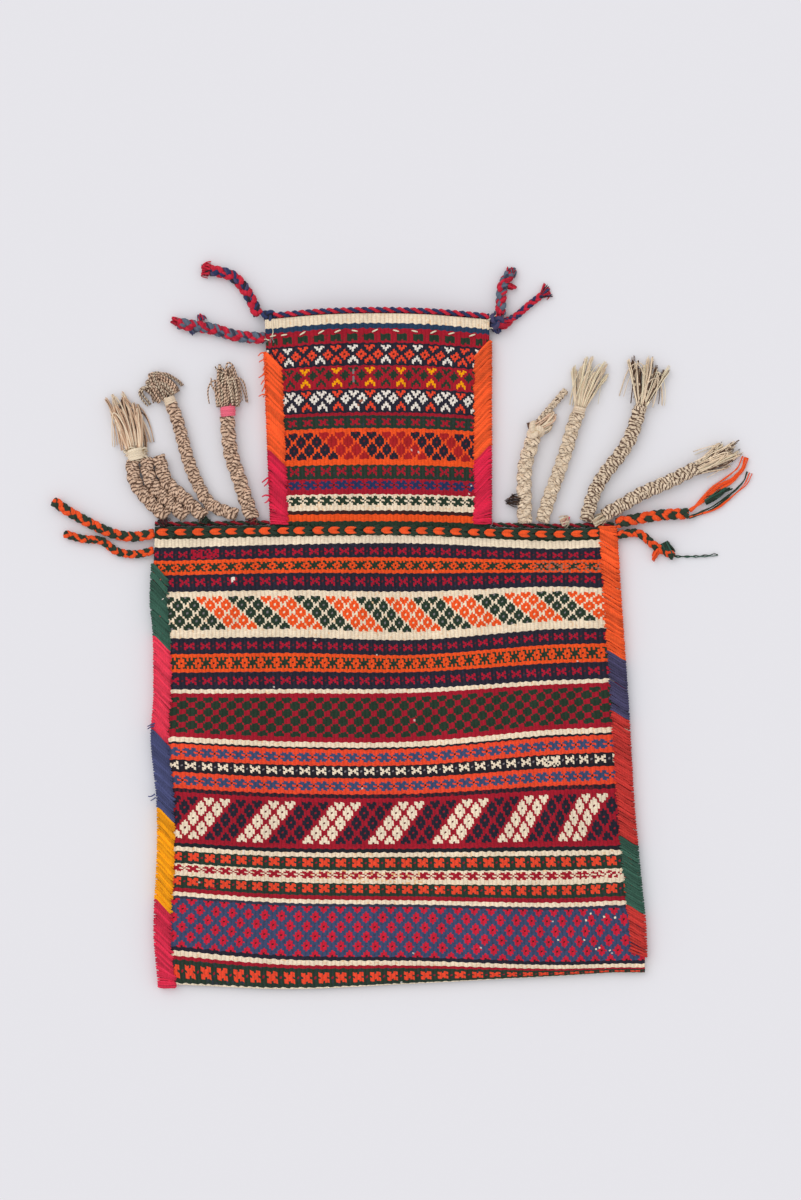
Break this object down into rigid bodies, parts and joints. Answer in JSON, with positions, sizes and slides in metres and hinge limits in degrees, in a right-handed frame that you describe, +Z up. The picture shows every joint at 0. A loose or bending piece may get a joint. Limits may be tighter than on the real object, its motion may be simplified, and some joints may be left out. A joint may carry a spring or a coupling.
{
  "type": "woven salt bag",
  "caption": "Flat woven wool salt bag with a narrow open neck, patterned bands, yarn-wrapped side seams and loose plaited cords at its corners.",
  "frame": {"origin": "under the middle of the bag as it lies flat, measured without its loose cords, on the surface it lies on", "axes": "+Z up out of the front wall, +Y along the bag from its folded bottom to its mouth, +X across it"},
  "size_m": [0.5614, 0.5826, 0.015],
  "materials": {
    "cloth": "dense flat wool weave",
    "green_yarn": "wrapped wool",
    "pink_yarn": "wrapped wool",
    "blue_yarn": "wrapped wool",
    "yellow_yarn": "wrapped wool",
    "crimson_yarn": "twisted wool",
    "orange_yarn": "wrapped and plaited wool",
    "brick_yarn": "wrapped wool",
    "navy_yarn": "plaited wool",
    "grey_blue_yarn": "plaited wool",
    "dark_green_yarn": "plaited wool",
    "rose_yarn": "wrapped wool",
    "marled_hair": "plaited goat hair and wool",
    "cream_yarn": "plaited undyed wool"
  },
  "bodies": {
    "root": {"woven_cloth": "cloth", "binding_left_green": "green_yarn", "binding_left_pink": "pink_yarn", "binding_left_blue": "blue_yarn", "binding_left_yellow": "yellow_yarn", "binding_left_crimson": "crimson_yarn", "binding_right_orange": "orange_yarn", "binding_right_blue": "blue_yarn", "binding_right_red": "brick_yarn", "binding_right_green": "green_yarn", "binding_right_brick": "brick_yarn", "neck_binding_left_orange": "orange_yarn", "neck_binding_left_pink": "pink_yarn", "neck_binding_right_orange": "orange_yarn", "neck_binding_right_pink": "pink_yarn", "mouth_cord_front": "crimson_yarn", "mouth_cord_back": "crimson_yarn", "shoulder_chain_front": "orange_yarn", "shoulder_chain_back_left": "crimson_yarn", "shoulder_chain_back_right": "crimson_yarn", "knot_mouth_left": "navy_yarn", "knot_mouth_right": "navy_yarn", "mouth_plait_left_navy": "navy_yarn", "mouth_plait_left_grey": "grey_blue_yarn", "mouth_plait_right_grey": "grey_blue_yarn", "mouth_plait_right_navy": "navy_yarn", "tail_left_navy": "crimson_yarn", "tail_right_navy": "navy_yarn", "corner_plait_left_upper": "orange_yarn", "corner_plait_left_lower": "orange_yarn", "corner_plait_right_upper": "orange_yarn", "corner_plait_right_lower": "orange_yarn", "orange_strand_upper": "orange_yarn", "orange_strand_lower": "orange_yarn", "green_thread": "dark_green_yarn", "hair_plait_left_inner": "marled_hair", "hair_plait_left_middle": "marled_hair", "hair_bundle_outer": "marled_hair", "hair_bundle_middle": "marled_hair", "hair_bundle_inner": "marled_hair", "hair_plait_right_first": "cream_yarn", "thin_hair_plait": "cream_yarn", "hair_plait_right_second": "cream_yarn", "hair_plait_right_third": "marled_hair", "hair_plait_right_fourth": "marled_hair", "tie_pink": "rose_yarn", "tie_left_middle": "cream_yarn", "tie_bundle": "cream_yarn", "knot_right_first": "cream_yarn", "tie_right_second": "cream_yarn", "tie_right_third": "cream_yarn", "tuft_left_inner": "marled_hair", "tuft_left_middle": "marled_hair", "tuft_bundle": "marled_hair", "tuft_right_second": "cream_yarn", "tuft_right_third": "marled_hair", "tuft_right_fourth": "marled_hair"}
  },
  "joints": []
}
